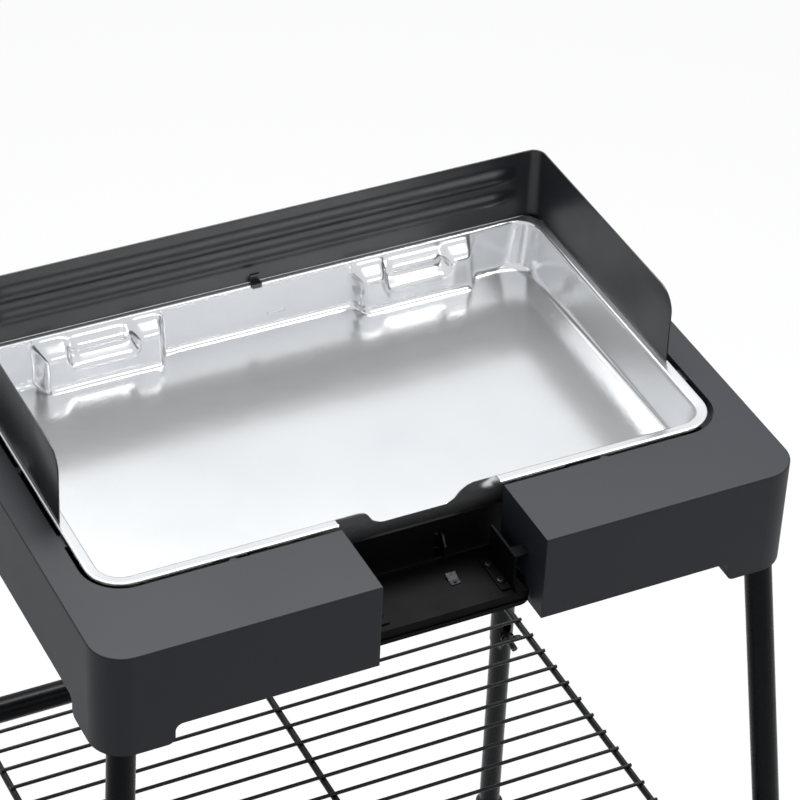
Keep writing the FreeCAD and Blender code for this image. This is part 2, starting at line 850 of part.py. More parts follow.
def interlock_bracket():
    """Folded bearing bracket with two ears, standing on the pan's floor."""
    c = pivot_place()
    z0 = pan_floor_z + pan_sheet
    inside = blade_thickness / 2 + ear_gap
    outside = inside + ear_sheet
    y0 = c.y - ear_width / 2
    y1 = c.y + ear_width / 2
    top = c.z + ear_width / 2
    base = block(c.x - outside, c.x + outside, y0, y1 + bracket_tail, z0, z0 + ear_sheet)
    ears = []
    for s in (-1, 1):
        xs = sorted([c.x + s * inside, c.x + s * outside])
        ears.append(block(xs[0], xs[1], y0, y1, z0, top))
    body = base.fuse(ears)
    bore = rod(V(c.x - 10, c.y, c.z), V(c.x + 10, c.y, c.z), pin_radius)
    return body.cut(bore)


def interlock_pin():
    c = pivot_place()
    reach = blade_thickness / 2 + ear_gap + ear_sheet
    pin = rod(V(c.x - reach - 0.6, c.y, c.z), V(c.x + reach + 0.6, c.y, c.z), pin_radius)
    return pin


def interlock_spring():
    """Return coil under the blade's tail: one unbroken tube of steady pitch."""
    c = pivot_place()
    y = c.y + tail_length - spring_radius - 1
    low = pan_floor_z + pan_sheet + ear_sheet + spring_wire
    high = c.z - tail_height / 2 - spring_clearance - spring_wire
    steps = spring_turns * 4
    rise = (high - low) / steps
    print("spring gap between turns", round(4 * rise - 2 * spring_wire, 2))

    def at(k):
        turn = math.radians(90 * k)
        return V(c.x + spring_radius * math.cos(turn), y + spring_radius * math.sin(turn), low + rise * k)

    arcs = [Part.Arc(at(k), at(k + 0.5), at(k + 1)).toShape() for k in range(steps)]
    path = Part.Wire(arcs)
    start = arcs[0].tangentAt(arcs[0].FirstParameter)
    section = Part.Wire([Part.makeCircle(spring_wire, at(0), start)])
    return path.makePipeShell([section], True, False)


# Water tray

def tray_well(shift, top):
    """Drafted hollow of the tray, grown outwards by shift, up to height top."""
    depth = tray_depth
    d = tray_draft
    upper = ring_wire(-well_x - shift, well_x + shift, well_front - shift, well_back + shift,
                      well_corner + shift, top_z)
    z0 = tray_floor_z - shift
    r_low = tray_low_corner + shift
    lower = ring_wire(-well_x + d - shift, well_x - d + shift, well_front + d - shift, well_back - d + shift,
                      r_low, z0)
    solid = Part.makeLoft([lower, upper], True, True)
    low = edges_at(solid, lambda p: abs(p.z - z0) < 0.01)
    solid = solid.makeFillet(tray_floor_round + shift, low)
    if top > top_z:
        cap = Part.Face(ring_wire(-well_x - shift, well_x + shift, well_front - shift, well_back + shift,
                                  well_corner + shift, top_z)).extrude(V(0, 0, top - top_z))
        solid = solid.fuse(cap)
    return solid


def pressed_block(x0, x1, depth, height, shift, edge_round):
    """Bulge of the back wall: depth out from the wall's foot, height above the floor."""
    foot_y = well_back - tray_draft
    far_y = well_back + 30
    front = foot_y - depth + shift
    top = tray_floor_z + height - shift
    body = block(x0, x1, front, far_y, tray_floor_z - 20, top)
    tests = [e for e in body.Edges if e.CenterOfMass.y < far_y - 1 and e.CenterOfMass.z > tray_floor_z - 15]
    return body.makeFillet(edge_round - shift, tests)


def support_solids(shift):
    """Pressed supports of the back wall, shrunk by shift for their hollow side."""
    solids = []
    lump = support_lump_width / 2
    for s in (-1, 1):
        x = s * support_offset
        for e in (-1, 1):
            cx = x + e * (support_width / 2 - lump)
            w = lump - shift
            solids.append(pressed_block(cx - w, cx + w, support_lump_depth, support_lump_height,
                                        shift, support_round))
        w = support_width / 2 - lump
        r = support_round / 2
        solids.append(pressed_block(x - w, x + w, support_skirt_depth, support_skirt_height, shift, r))
        solids.append(pressed_block(x - w, x + w, support_bar_depth, support_bar_height, shift, r))
    return solids


def dip_cutter():
    """Shallow dip in the front wall, where the heater's stems cross it."""
    y = rim_front - 2
    z = top_z
    low = z - dip_depth
    outline = [V(-dip_half_top, y, z + 5), V(-dip_half_top, y, z), V(-dip_half_bottom, y, low),
               V(dip_half_bottom, y, low), V(dip_half_top, y, z), V(dip_half_top, y, z + 5)]
    cutter = polygon(outline, V(0, tray_flange + tray_draft + 6, 0))
    bends = [e for e in cutter.Edges if e.Length > tray_flange and abs(e.CenterOfMass.z - low) < 0.01
             and abs(abs(e.CenterOfMass.x) - dip_half_bottom) < 0.01]
    return cutter.makeFillet(dip_round, bends)


def water_tray():
    t = tray_sheet
    shell = tray_well(t, top_z)
    shell = shell.cut(support_solids(t))
    flange = slab(-rim_x, rim_x, rim_front, rim_back, tray_rim_corner, top_z - t, top_z)
    lip_z = top_z - 2 * tray_bead
    bead_outer = slab(-rim_x, rim_x, rim_front, rim_back, tray_rim_corner, lip_z, top_z)
    b = 2 * tray_bead
    bead_inner = slab(-rim_x + b, rim_x - b, rim_front + b, rim_back - b, tray_rim_corner - b,
                      lip_z - 1, top_z + 1)
    bead = bead_outer.cut(bead_inner)
    level = [e for e in bead.Edges if e.BoundBox.ZLength < 0.01]
    outline = [e for e in level if on_outline(e, rim_x, rim_front, rim_back, tray_rim_corner)]
    bead = bead.makeFillet(tray_bead * 0.9, outline)
    body = shell.fuse([flange, bead])
    bay_cut = block(-bay_half, bay_half, rim_front - 5, well_front - t, top_z - 10, top_z + 5)
    body = body.cut(bay_cut)
    hollow = tray_well(0, top_z + 5).cut(support_solids(0))
    body = body.cut(hollow)
    body = body.cut(dip_cutter())
    return body.removeSplitter()


def on_outline(edge, x, y0, y1, r):
    """True where an edge lies on the outer outline of a rounded rectangle."""
    p = edge.valueAt((edge.FirstParameter + edge.LastParameter) / 2)
    near_side = abs(abs(p.x) - x) < 0.1 or abs(p.y - y0) < 0.1 or abs(p.y - y1) < 0.1
    cx = x - r
    in_corner = False
    for cy in (y0 + r, y1 - r):
        in_corner = in_corner or abs(math.hypot(abs(p.x) - cx, p.y - cy) - r) < 0.1
    return near_side or in_corner


# Wind shield

def wind_shield():
    """One bent sheet: a ribbed back and two side wings."""
    t = shield_sheet
    z0 = shield_bottom
    z1 = z0 + shield_height
    front = shield_front
    reach = 60
    outer = slab(-shield_x, shield_x, front - reach, shield_back, shield_bend, z0, z1)
    inner = slab(-shield_x + t, shield_x - t, front - reach - 5, shield_back - t, shield_bend - t,
                 z0 - 1, z1 + 1)
    sheet = outer.cut(inner)
    sheet = sheet.cut(block(-half_w, half_w, front - reach - 10, front, z0 - 1, z1 + 1))
    half = shield_x - shield_rib_end
    face = shield_back - t
    r = shield_rib_radius
    for rise in (shield_rib_low, shield_rib_high):
        z = z0 + rise
        ridge = rod(V(-half, face, z), V(half, face, z), r)
        ridge = ridge.fuse([Part.makeSphere(r, V(s * half, face, z)) for s in (-1, 1)])
        ridge = ridge.cut(block(-half_w, half_w, face + t * 0.6, face + 10, z - 10, z + 10))
        groove_r = r - t * 0.6
        groove = rod(V(-half, shield_back, z), V(half, shield_back, z), groove_r)
        sheet = sheet.fuse(ridge).cut(groove)
    c = shield_corner
    for s in (-1, 1):
        xs = sorted([s * (shield_x + 1), s * (shield_x - 5)])
        square = block(xs[0], xs[1], front - 1, front + c, z1 - c, z1 + 1)
        disc = rod(V(xs[0] - 1, front + c, z1 - c), V(xs[1] + 1, front + c, z1 - c), c)
        sheet = sheet.cut(square.cut(disc))
    return sheet.removeSplitter()


def shield_clip():
    """Small hook on the shield's back that grips the tray's flange."""
    w = clip_width / 2
    t = clip_sheet
    face = shield_back - shield_sheet
    z0 = shield_bottom
    lip_y = well_back - shield_seat_gap - tray_draft * clip_drop / tray_depth
    plate = block(-w, w, face - t, face, z0, z0 + clip_rise)
    bridge = block(-w, w, lip_y - t, face, z0, z0 + t)
    drop = block(-w, w, lip_y - t, lip_y, z0 - clip_drop, z0 + t)
    return plate.fuse([bridge, drop]).removeSplitter()


def build():
    save("housing_shell", housing_shell())
    save("bay_floor", bay_floor())
    save("guide_rail_left", guide_rail(-1))
    save("guide_rail_right", guide_rail(1))
    save("bay_screws", bay_screws())
    save("catch_strip", catch_strip())
    save("inner_pan", inner_pan())
    save("pan_screws", pan_screws())
    save("interlock_blade", interlock_blade())
    save("interlock_bracket", interlock_bracket())
    save("interlock_pin", interlock_pin())
    save("interlock_spring", interlock_spring())
    save("water_tray", water_tray())
    save("wind_shield", wind_shield())
    save("shield_clip", shield_clip())
    for name, (sx, sy) in CORNERS.items():
        save("leg_socket_" + name, leg_socket(sx, sy))
        save("upper_leg_" + name, upper_leg(sx, sy))
        save("lower_leg_" + name, lower_leg(sx, sy))
        save("foot_cap_" + name, foot_cap(sx, sy))
        save("wing_nut_" + name, wing_nut(sx, sy))
    save("socket_screws", socket_screws())
    save("leg_bolts", group([leg_bolt(sx, sy) for sx, sy in CORNERS.values()]))
    save("leg_washers", group([leg_washer(sx, sy) for sx, sy in CORNERS.values()]))
    save("cross_tube_front", cross_tube(-1))
    save("cross_tube_rear", cross_tube(1))
    save("tube_plugs", tube_plugs())
    save("cross_bolts", cross_bolts())
    save("cross_nuts", cross_nuts())
    save("shelf_rack", shelf_rack())


build()
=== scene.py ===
# %% [markdown]
# # Dressing a standing grill
# The frame of this grill comes from its CAD model: every sheet, tube and screw is
# already in its place. In this lesson the frame is loaded, the camera and the soft
# light of a studio are set up, and then the pieces are given the looks of the real
# ones: grained black plastic, bright pressed sheet, black enamelled wire and tube.
# Pieces whose shape is softer than a plain solid, such as the pressed tray and the
# ribbed wind shield, are modelled anew and stand in the place of the plain ones.

# %% Load the frame
import bpy
import bmesh
import math
from mathutils import Matrix, Vector


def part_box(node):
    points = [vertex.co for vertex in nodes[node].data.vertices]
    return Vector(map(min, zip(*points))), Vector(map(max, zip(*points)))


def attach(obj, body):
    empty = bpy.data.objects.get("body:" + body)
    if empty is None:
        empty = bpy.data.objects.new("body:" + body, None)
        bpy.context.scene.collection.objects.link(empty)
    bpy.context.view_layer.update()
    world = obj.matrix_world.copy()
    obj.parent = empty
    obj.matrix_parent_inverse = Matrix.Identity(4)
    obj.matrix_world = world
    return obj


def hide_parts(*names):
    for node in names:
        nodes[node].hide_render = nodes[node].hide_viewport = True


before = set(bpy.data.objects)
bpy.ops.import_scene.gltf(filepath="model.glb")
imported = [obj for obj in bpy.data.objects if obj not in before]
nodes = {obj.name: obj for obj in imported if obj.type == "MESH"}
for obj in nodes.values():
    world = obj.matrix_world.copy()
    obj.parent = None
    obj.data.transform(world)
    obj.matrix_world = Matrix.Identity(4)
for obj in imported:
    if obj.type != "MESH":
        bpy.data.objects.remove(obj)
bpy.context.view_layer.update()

print("nodes in the frame:", len(nodes))

# %% [markdown]
# ## Camera
# The grill is seen from the front left and from above, by a long lens a good two and
# a half metres away. A long lens keeps the far edge of the housing nearly as long as
# the near one. The camera leans a little, so it is turned about its own axis as well.

# %% Place the camera
view_azimuth = 0.4791
view_elevation = 0.6548
view_lean = 0.0496
focal_length = 157.44
camera_place = Vector((-0.92611, -1.87297, 2.40221))

bpy.ops.object.camera_add(location=camera_place)
camera = bpy.context.object
turn = Matrix.Rotation(-view_azimuth, 4, "Z")
tilt = Matrix.Rotation(math.pi / 2 - view_elevation, 4, "X")
lean = Matrix.Rotation(view_lean, 4, "Z")
camera.matrix_world = Matrix.Translation(camera_place) @ turn @ tilt @ lean
camera.data.lens = focal_length
camera.data.sensor_width = 36
camera.data.clip_end = 60
bpy.context.scene.camera = camera
bpy.context.scene.view_settings.view_transform = "Standard"
print("camera at", tuple(round(v, 3) for v in camera.location))

# %% [markdown]
# ## Floor and light
# A pale floor carries the stand and its shadow. Rays from the camera see the floor as
# nearly white. The room around is white too, for the camera and for mirror rays that
# leave the metal, while its soft light on matt surfaces stays at a plain level. One
# wide lamp hangs above, as a soft box would, and two narrower ones stand at the sides
# to draw the long highlights on the tubes.

# %% Make the floor
def new_material(name):
    """An empty node material with its shader and output."""
    material = bpy.data.materials.new(name)
    material.use_nodes = True
    tree = material.node_tree
    shader = tree.nodes["Principled BSDF"]
    return material, tree, shader


bpy.ops.mesh.primitive_plane_add(size=40, location=(0, 0, 0))
floor = bpy.context.object
floor.name = "floor"
paper, tree, shader = new_material("pale_floor")
shader.inputs["Base Color"].default_value = (0.86, 0.86, 0.86, 1)
shader.inputs["Roughness"].default_value = 0.9
glow = tree.nodes.new("ShaderNodeEmission")
glow.inputs["Color"].default_value = (1, 1, 1, 1)
path = tree.nodes.new("ShaderNodeLightPath")
share = tree.nodes.new("ShaderNodeMath")
share.operation = "MULTIPLY"
share.inputs[1].default_value = 0.86
tree.links.new(path.outputs["Is Camera Ray"], share.inputs[0])
blend = tree.nodes.new("ShaderNodeMixShader")
tree.links.new(share.outputs[0], blend.inputs["Fac"])
tree.links.new(shader.outputs["BSDF"], blend.inputs[1])
tree.links.new(glow.outputs["Emission"], blend.inputs[2])
tree.links.new(blend.outputs["Shader"], tree.nodes["Material Output"].inputs["Surface"])
floor.data.materials.append(paper)
print("floor laid")

# %% Hang the lamps
def soft_box(name, place, aim, width, height, power):
    """A rectangular lamp at one place, aimed at another."""
    bpy.ops.object.light_add(type="AREA", location=place)
    lamp = bpy.context.object
    lamp.name = name
    lamp.data.shape = "RECTANGLE"
    lamp.data.size = width
    lamp.data.size_y = height
    lamp.data.energy = power
    direction = Vector(aim) - Vector(place)
    lamp.rotation_euler = direction.to_track_quat("-Z", "Y").to_euler()
    return lamp


soft_box("lamp_above", (0.40, 0.62, 2.4), (0, 0, 0.8), 1.6, 0.6, 54)
soft_box("lamp_left", (-2.6, 0.3, 1.3), (0, 0, 0.6), 0.5, 2.0, 4)
soft_box("lamp_right", (2.2, -1.6, 1.2), (0, 0, 0.6), 0.4, 2.0, 4)
soft_box("lamp_front", (1.11, -1.99, 2.57), (0, 0.1, 0.83), 1.0, 0.6, 8)

world = bpy.data.worlds.new("studio")
bpy.context.scene.world = world
world.use_nodes = True
sky = world.node_tree.nodes["Background"]
sky.inputs["Color"].default_value = (0.945, 0.97, 1, 1)
path = world.node_tree.nodes.new("ShaderNodeLightPath")
bright = world.node_tree.nodes.new("ShaderNodeMath")
bright.operation = "MAXIMUM"
clear = world.node_tree.nodes.new("ShaderNodeMath")
clear.operation = "MAXIMUM"
level = world.node_tree.nodes.new("ShaderNodeMapRange")
level.inputs["To Min"].default_value = 0.42
level.inputs["To Max"].default_value = 0.90
world.node_tree.links.new(path.outputs["Is Camera Ray"], bright.inputs[0])
world.node_tree.links.new(path.outputs["Is Glossy Ray"], bright.inputs[1])
world.node_tree.links.new(bright.outputs[0], clear.inputs[0])
world.node_tree.links.new(path.outputs["Is Transmission Ray"], clear.inputs[1])
world.node_tree.links.new(clear.outputs[0], level.inputs["Value"])
world.node_tree.links.new(level.outputs["Result"], sky.inputs["Strength"])

# %% [markdown]
# ## Finishes
# A finish is more than a colour: moulded plastic has a fine grain, rolled sheet has
# streaks along one direction, enamel is smooth but never quite even. Each finish here
# starts from one shader whose own sockets hold what is the same all over, and noise
# textures on Object coordinates add what varies.

# %% Helpers for node materials
def noise(tree, scale, detail=4.0, stretch=(1, 1, 1)):
    """Noise on Object coordinates, stretched along one axis if asked."""
    place = tree.nodes.new("ShaderNodeTexCoord")
    mapping = tree.nodes.new("ShaderNodeMapping")
    mapping.inputs["Scale"].default_value = stretch
    texture = tree.nodes.new("ShaderNodeTexNoise")
    texture.inputs["Scale"].default_value = scale
    texture.inputs["Detail"].default_value = detail
    tree.links.new(place.outputs["Object"], mapping.inputs["Vector"])
    tree.links.new(mapping.outputs["Vector"], texture.inputs["Vector"])
    return texture.outputs["Fac"]


def spread(tree, value, low, high):
    """Turns a 0 to 1 value into one between low and high."""
    span = tree.nodes.new("ShaderNodeMapRange")
    span.inputs["From Min"].default_value = 0.3
    span.inputs["From Max"].default_value = 0.7
    span.inputs["To Min"].default_value = low
    span.inputs["To Max"].default_value = high
    tree.links.new(value, span.inputs["Value"])
    return span.outputs["Result"]


def tint(tree, value, dark, light):
    """Turns a 0 to 1 value into a colour between two."""
    ramp = tree.nodes.new("ShaderNodeValToRGB")
    ramp.color_ramp.elements[0].position = 0.3
    ramp.color_ramp.elements[1].position = 0.7
    ramp.color_ramp.elements[0].color = (*dark, 1)
    ramp.color_ramp.elements[1].color = (*light, 1)
    tree.links.new(value, ramp.inputs["Fac"])
    return ramp.outputs["Color"]


def relief(tree, shader, value, strength, distance):
    """Bumps the surface by a value, on top of what bumps it already."""
    bump = tree.nodes.new("ShaderNodeBump")
    bump.inputs["Strength"].default_value = strength
    bump.inputs["Distance"].default_value = distance
    tree.links.new(value, bump.inputs["Height"])
    before = shader.inputs["Normal"].links
    if before:
        tree.links.new(before[0].from_socket, bump.inputs["Normal"])
    tree.links.new(bump.outputs["Normal"], shader.inputs["Normal"])


def dress(material, *names):
    """Gives CAD nodes a material in place of their plain one."""
    for name in names:
        node = nodes[name]
        node.data.materials.clear()
        node.data.materials.append(material)
        node.data.shade_smooth()


print("helpers ready")

# %% [markdown]
# ## Moulded plastic
# The housing is moulded from heat-proof plastic with a fine spark-eroded grain. The
# grain scatters the lamp above, which is why its top looks grey and its sides black.

# %% Housing plastic
plastic, tree, shader = new_material("grained_plastic")
shader.inputs["Specular IOR Level"].default_value = 0.30
edge = tree.nodes.new("ShaderNodeBevel")
edge.samples = 6
edge.inputs["Radius"].default_value = 0.0009
tree.links.new(edge.outputs["Normal"], shader.inputs["Normal"])
grain = noise(tree, 900, 2)
cloud = noise(tree, 6, 3)
tree.links.new(tint(tree, cloud, (0.0072, 0.0092, 0.0132), (0.0092, 0.0116, 0.0164)), shader.inputs["Base Color"])
tree.links.new(spread(tree, cloud, 0.50, 0.56), shader.inputs["Roughness"])
relief(tree, shader, grain, 0.12, 0.0002)
dress(plastic, "housing_shell")
print("plastic on the housing")

# %% Caps and sockets
cap_plastic, tree, shader = new_material("cap_plastic")
shader.inputs["Roughness"].default_value = 0.55
shader.inputs["Specular IOR Level"].default_value = 0.3
tree.links.new(tint(tree, noise(tree, 60, 3), (0.009, 0.009, 0.010), (0.015, 0.015, 0.016)),
               shader.inputs["Base Color"])
relief(tree, shader, noise(tree, 700, 2), 0.2, 0.0002)
corners = ("front_left", "front_right", "rear_left", "rear_right")
for corner in corners:
    dress(cap_plastic, "foot_cap_" + corner, "leg_socket_" + corner)
dress(cap_plastic, "tube_plugs")
print("plastic on caps, sockets and plugs")

# %% Painted tube
tube_paint, tree, shader = new_material("black_tube_paint")
shader.inputs["Specular IOR Level"].default_value = 0.09
tree.links.new(tint(tree, noise(tree, 30, 4), (0.0030, 0.0033, 0.0040), (0.0050, 0.0054, 0.0064)),
               shader.inputs["Base Color"])
tree.links.new(spread(tree, noise(tree, 80, 4), 0.24, 0.32), shader.inputs["Roughness"])
relief(tree, shader, noise(tree, 420, 3), 0.06, 0.0002)
for corner in corners:
    dress(tube_paint, "upper_leg_" + corner, "lower_leg_" + corner)
dress(tube_paint, "cross_tube_front", "cross_tube_rear")
print("paint on legs and cross tubes")

# %% Enamelled wire
wire_paint, tree, shader = new_material("black_wire_enamel")
shader.inputs["Specular IOR Level"].default_value = 0.25
tree.links.new(tint(tree, noise(tree, 90, 4), (0.006, 0.006, 0.007), (0.011, 0.011, 0.012)),
               shader.inputs["Base Color"])
tree.links.new(spread(tree, noise(tree, 160, 4), 0.34, 0.5), shader.inputs["Roughness"])
relief(tree, shader, noise(tree, 350, 3), 0.15, 0.0003)
dress(wire_paint, "shelf_rack")
print("enamel on the shelf")

# %% Painted sheet
sheet_paint, tree, shader = new_material("black_sheet_paint")
tree.links.new(tint(tree, noise(tree, 20, 4), (0.0115, 0.012, 0.0155), (0.0165, 0.017, 0.021)),
               shader.inputs["Base Color"])
tree.links.new(spread(tree, noise(tree, 50, 4), 0.29, 0.35), shader.inputs["Roughness"])
relief(tree, shader, noise(tree, 1100, 2), 0.10, 0.0002)
dress(sheet_paint, "wind_shield", "shield_clip")

# The bay's sheets and the pan under the tray take a darker, duller copy of the same black paint: the extra darkness is
# painted shade.
shade_darkened_sheet_paint, tree, shader = new_material("black_paint_with_painted_shade")
shader.inputs["Specular IOR Level"].default_value = 0.06
tree.links.new(tint(tree, noise(tree, 20, 4), (0.0015, 0.0015, 0.0020), (0.0028, 0.0028, 0.0034)),
               shader.inputs["Base Color"])
tree.links.new(spread(tree, noise(tree, 50, 4), 0.46, 0.58), shader.inputs["Roughness"])
relief(tree, shader, noise(tree, 1100, 2), 0.15, 0.0002)
dress(shade_darkened_sheet_paint, "bay_floor", "guide_rail_left", "guide_rail_right", "inner_pan")
print("paint on the sheets")

# %% Bright metals
tray_metal, tree, shader = new_material("pressed_bright_sheet")
shader.inputs["Metallic"].default_value = 0.84
rolling = noise(tree, 60, 5, (1, 12, 12))
cloud = noise(tree, 9, 2)
tree.links.new(tint(tree, cloud, (0.745, 0.75, 0.76), (0.80, 0.805, 0.81)), shader.inputs["Base Color"])
tree.links.new(spread(tree, rolling, 0.170, 0.190), shader.inputs["Roughness"])
relief(tree, shader, noise(tree, 12, 1), 0.10, 0.003)
dress(tray_metal, "water_tray")

steel, tree, shader = new_material("plated_steel")
shader.inputs["Metallic"].default_value = 1
tree.links.new(tint(tree, noise(tree, 500, 4), (0.45, 0.45, 0.46), (0.62, 0.62, 0.63)), shader.inputs["Base Color"])
tree.links.new(spread(tree, noise(tree, 300, 4), 0.25, 0.4), shader.inputs["Roughness"])
dress(steel, "interlock_bracket", "interlock_pin", "interlock_spring")

spring_steel, tree, shader = new_material("dark_spring_steel")
shader.inputs["Metallic"].default_value = 1
tree.links.new(tint(tree, noise(tree, 400, 4), (0.016, 0.016, 0.018), (0.04, 0.04, 0.044)), shader.inputs["Base Color"])
tree.links.new(spread(tree, noise(tree, 300, 4), 0.36, 0.48), shader.inputs["Roughness"])
dress(spring_steel, "catch_strip", "interlock_blade")

dark_steel, tree, shader = new_material("black_plated_steel")
shader.inputs["Metallic"].default_value = 0.2
shader.inputs["Specular IOR Level"].default_value = 0.3
tree.links.new(tint(tree, noise(tree, 500, 4), (0.005, 0.005, 0.006), (0.014, 0.014, 0.015)), shader.inputs["Base Color"])
tree.links.new(spread(tree, noise(tree, 300, 4), 0.25, 0.4), shader.inputs["Roughness"])
dress(dark_steel, "bay_screws", "pan_screws", "socket_screws", "leg_bolts", "leg_washers", "cross_bolts", "cross_nuts")
for corner in corners:
    dress(dark_steel, "wing_nut_" + corner)
print("metals done")

# %% [markdown]
# ## The water tray
# The tray is pressed from one bright sheet: a flat flange with a rolled edge, a wall
# that leans inwards, and a floor that meets it in a soft round. It could be carved
# from a block, but a sheet is easier to make as a stack of outlines. Each outline is
# the same rounded rectangle at another size and height, with the same number of
# points, so neighbouring outlines can be bridged into one smooth skin.

# %% Helpers for edit mode
def start_clean():
    """Leaves edit mode and deselects every object."""
    if bpy.context.object and bpy.context.object.mode != "OBJECT":
        bpy.ops.object.mode_set(mode="OBJECT")
    bpy.ops.object.select_all(action="DESELECT")


def select_where(kind, test):
    """Selects only the vertices, edges or faces of which the test is true."""
    bpy.ops.mesh.select_mode(type={"verts": "VERT", "edges": "EDGE", "faces": "FACE"}[kind])
    bpy.ops.mesh.select_all(action="DESELECT")
    mesh = bmesh.from_edit_mesh(bpy.context.object.data)
    chosen = [part for part in getattr(mesh, kind) if test(part)]
    for part in chosen:
        part.select_set(True)
    mesh.select_flush_mode()
    bmesh.update_edit_mesh(bpy.context.object.data)
    return len(chosen)


def both_ends(edge, test):
    """True where both ends of an edge pass a test on their place."""
    return all(test(vertex.co) for vertex in edge.verts)


near = 1e-5
print("helpers ready")

# %% The tray's sizes
rim_half, rim_front, rim_back = 0.2520, -0.1313, 0.1737
tray_top, tray_floor = 0.7940, 0.7540
tray_middle = (rim_front + rim_back) / 2
tray_sheet = 0.0008
print("tray", round(2 * rim_half, 3), "by", round(rim_back - rim_front, 3))


# %% One outline of the tray
def outline(inset, height, radius):
    """A closed line of points round the tray, inset from its outer edge."""
    half_x = rim_half - inset
    half_y = (rim_back - rim_front) / 2 - inset
    middle = (0, tray_middle, height)
    bpy.ops.mesh.select_mode(type="VERT")
    bpy.ops.mesh.select_all(action="DESELECT")
    bpy.ops.mesh.primitive_plane_add(size=2, location=middle)
    bpy.ops.transform.resize(value=(half_x, half_y, 1), center_override=middle)
    bpy.ops.mesh.bevel(affect="VERTICES", offset=radius, segments=9, clamp_overlap=False)
    bpy.ops.mesh.delete(type="ONLY_FACE")
    back = tray_middle + half_y - near
    front = tray_middle - half_y + near
    side = half_x - near
    level = lambda p: abs(p.z - height) < near
    for cuts, test in ((15, lambda p: level(p) and p.y > back),
                       (13, lambda p: level(p) and p.y > back),
                       (15, lambda p: level(p) and p.y < front),
                       (6, lambda p: level(p) and p.y < front),
                       (31, lambda p: level(p) and p.x > side),
                       (31, lambda p: level(p) and p.x < -side)):
        select_where("edges", lambda e: both_ends(e, test))
        bpy.ops.mesh.subdivide(number_cuts=cuts)


def bridge(low, high, cuts=0):
    """Bridges the two outlines that lie at two heights."""
    select_where("edges", lambda e: both_ends(e, lambda p: abs(p.z - low) < near)
                 or both_ends(e, lambda p: abs(p.z - high) < near))
    bpy.ops.mesh.bridge_edge_loops(number_cuts=cuts, interpolation="LINEAR")


print("an outline has", 4 * 9 + 224 + 112 + 64, "points")

# %% Stack the outlines
start_clean()
bpy.ops.mesh.primitive_plane_add(size=0.01)
tray = bpy.context.object
tray.name = "pressed_tray"
bpy.ops.object.mode_set(mode="EDIT")
bpy.ops.mesh.delete(type="VERT")

stack = []
roll = 0.0013
for step in range(6):
    turn = math.radians(-70 + 32 * step)
    inset = roll - roll * math.cos(turn)
    stack.append((inset, tray_top - roll + roll * math.sin(turn), 0.028 - inset))
stack.append((0.0030, tray_top - 0.00030, 0.0250))
stack.append((0.0070, tray_top - 0.00040, 0.0210))
bend = 0.0022
for step in range(1, 5):
    turn = math.radians(20 * step)
    inset = 0.0072 + bend * math.sin(turn)
    stack.append((inset, tray_top - 0.00042 - bend + bend * math.cos(turn), 0.0280 - inset))
wall_top = len(stack) - 1
foot = 0.0055
for step in range(5):
    turn = math.radians(80 - 20 * step)
    inset = 0.0150 + foot * (1 - math.sin(turn))
    stack.append((inset, tray_floor + foot - foot * math.cos(turn), 0.0235))
for inset, height, radius in stack:
    outline(inset, height, radius)
for number in range(len(stack) - 1):
    bridge(stack[number][1], stack[number + 1][1], 13 if number == wall_top else 0)
print("outlines:", len(stack), "faces:", len(bmesh.from_edit_mesh(tray.data).faces))

# %% [markdown]
# ## Pressed supports in the back wall
# Two supports for the heater are pressed into the back wall. Each is a low step
# between two higher lumps. On the real tray the press pulls the sheet over a die; here
# the rows of points of the wall are moved forward, each by what its height needs, and
# then smoothed along the sheet, as the stretched metal would be.

# %% Find the rows of the back wall
wall_foot = stack[wall_top + 1]
foot_y = rim_back - wall_foot[0]
mesh = bmesh.from_edit_mesh(tray.data)
rows = {}
for vertex in mesh.verts:
    if vertex.co.y > 0.140 and vertex.co.z < stack[wall_top][1] + near:
        rows[round(vertex.co.z, 5)] = max(vertex.co.y, rows.get(round(vertex.co.z, 5), 0))
print("rows of the wall:", len(rows))


# %% Press the supports
def press(low_x, high_x, low_z, high_z, front, lean):
    """Moves the rows of one field to a face that leans back towards its upper edge."""
    for height, back in rows.items():
        if low_z < height < high_z:
            place = front - lean * (high_z - max(height, wall_foot[1]))
            shift = place - max(back, foot_y) if height < wall_foot[1] else place - back
            select_where("verts", lambda v: abs(v.co.z - height) < near and v.co.y > 0.12
                         and low_x < v.co.x < high_x)
            bpy.ops.transform.translate(value=(0, shift, 0))


for side in (-1, 1):
    middle = side * 0.135
    press(middle - 0.0265, middle + 0.0265, 0.7535, 0.7750, 0.1490, 0.24)
    press(middle - 0.0240, middle + 0.0240, 0.7750, 0.7865, 0.1555, 0)
    for end in (-1, 1):
        lump = middle + end * 0.0385
        press(lump - 0.0120, lump + 0.0120, 0.7535, 0.7855, 0.1490, 0.16)
print("two supports pressed")

# %% Let the sheet flow
select_where("verts", lambda v: v.co.y > 0.115 and 0.070 < abs(v.co.x) < 0.200
             and v.co.z < 0.7905)
bpy.ops.mesh.vertices_smooth(factor=0.5, repeat=5, zaxis=False)
print("supports smoothed")

# %% Close the floor
select_where("edges", lambda e: both_ends(e, lambda p: abs(p.z - stack[-1][1]) < near))
bpy.ops.mesh.edge_face_add()
bpy.ops.mesh.inset(thickness=0.0015)
bpy.ops.mesh.select_all(action="SELECT")
bpy.ops.mesh.normals_make_consistent(inside=False)
mesh = bmesh.from_edit_mesh(tray.data)
floor_face = max(mesh.faces, key=lambda face: face.calc_area())
if floor_face.normal.z < 0:
    bpy.ops.mesh.flip_normals()
bpy.ops.object.mode_set(mode="OBJECT")
print("floor faces up, faces:", len(tray.data.polygons))

